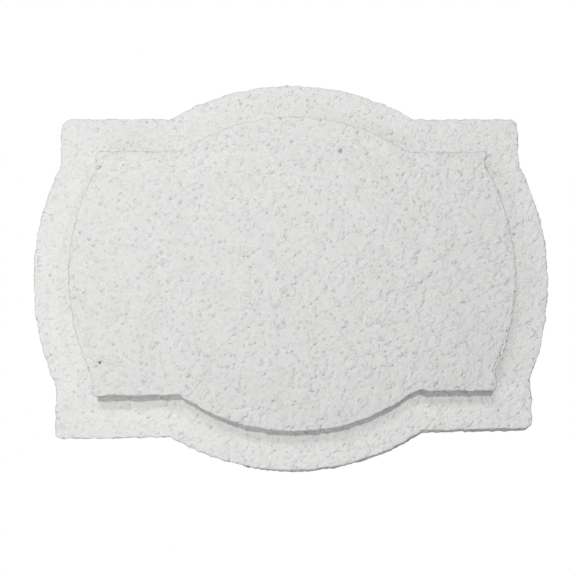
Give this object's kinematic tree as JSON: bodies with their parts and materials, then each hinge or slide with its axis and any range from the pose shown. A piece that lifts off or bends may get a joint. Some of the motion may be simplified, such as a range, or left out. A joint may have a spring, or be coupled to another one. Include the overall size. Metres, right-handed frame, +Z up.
{
  "type": "address plaque",
  "caption": "Blank address plaque for a wall: a bowed rectangular backing plate with a smaller raised panel of the same outline, under a white sprayed stucco coat.",
  "frame": {"origin": "middle of the backing plate's flat back face, which lies on the wall", "axes": "+Z up as it hangs, +X to the right as seen from the front; the front faces -Y and the back faces +Y"},
  "size_m": [0.4064, 0.0385, 0.3064],
  "materials": {
    "plate_coat": "matt white sprayed cement coat, fine bumps and pits",
    "panel_coat": "matt white sprayed cement coat, fine bumps and pits"
  },
  "bodies": {
    "root": {"backing_plate": "plate_coat", "raised_panel": "panel_coat"}
  },
  "joints": []
}
